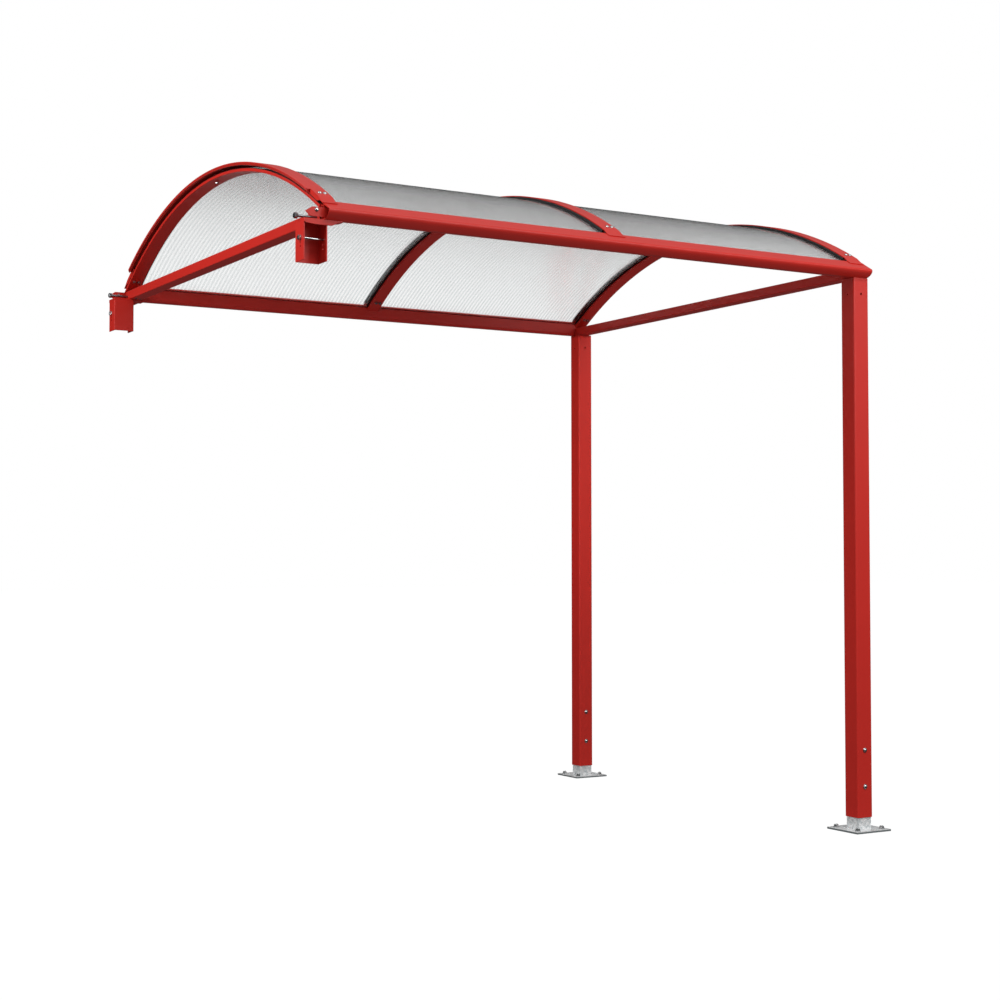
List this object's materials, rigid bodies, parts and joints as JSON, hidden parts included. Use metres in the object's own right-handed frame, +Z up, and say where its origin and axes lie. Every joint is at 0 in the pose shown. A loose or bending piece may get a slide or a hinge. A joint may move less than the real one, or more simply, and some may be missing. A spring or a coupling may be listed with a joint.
{
  "type": "bike shelter",
  "caption": "Barrel-roofed bike shelter bay: translucent sheets on red steel arches, eaves beams, posts with galvanised feet at one end and collars that couple to the next bay at the other.",
  "frame": {"origin": "centre of the underside of the front post's base plate, at ground level", "axes": "+X from the coupling end to the post end along the eaves, +Y from the front post to the back post, +Z up"},
  "size_m": [2.644, 2.308, 2.7],
  "materials": {
    "red_powder_coat": "red powder coat, satin",
    "galvanised_steel": "hot-dip galvanised, dull grey",
    "multiwall_polycarbonate": "translucent ribbed multiwall polycarbonate",
    "epdm_gasket": "black extruded rubber"
  },
  "bodies": {
    "root": {"back_base_plate": "galvanised_steel", "back_beam": "red_powder_coat", "back_beam_cap": "red_powder_coat", "back_collar": "red_powder_coat", "back_head_plate": "red_powder_coat", "back_post": "red_powder_coat", "back_saddle": "red_powder_coat", "back_spigot": "red_powder_coat", "back_stub_tube": "galvanised_steel", "coupling_end_tie": "red_powder_coat", "front_base_plate": "galvanised_steel", "front_beam": "red_powder_coat", "front_beam_cap": "red_powder_coat", "front_collar": "red_powder_coat", "front_head_plate": "red_powder_coat", "front_post": "red_powder_coat", "front_saddle": "red_powder_coat", "front_spigot": "red_powder_coat", "front_stub_tube": "galvanised_steel", "left_arch": "red_powder_coat", "left_cap_left_gasket": "epdm_gasket", "left_cap_right_gasket": "epdm_gasket", "left_cap_strip": "red_powder_coat", "left_lower_gasket": "epdm_gasket", "left_roof_sheet": "multiwall_polycarbonate", "middle_arch": "red_powder_coat", "middle_cap_left_gasket": "epdm_gasket", "middle_cap_right_gasket": "epdm_gasket", "middle_cap_strip": "red_powder_coat", "middle_lower_gasket": "epdm_gasket", "post_end_tie": "red_powder_coat", "right_arch": "red_powder_coat", "right_cap_left_gasket": "epdm_gasket", "right_cap_right_gasket": "epdm_gasket", "right_cap_strip": "red_powder_coat", "right_lower_gasket": "epdm_gasket", "right_roof_sheet": "multiwall_polycarbonate"}
  },
  "joints": []
}
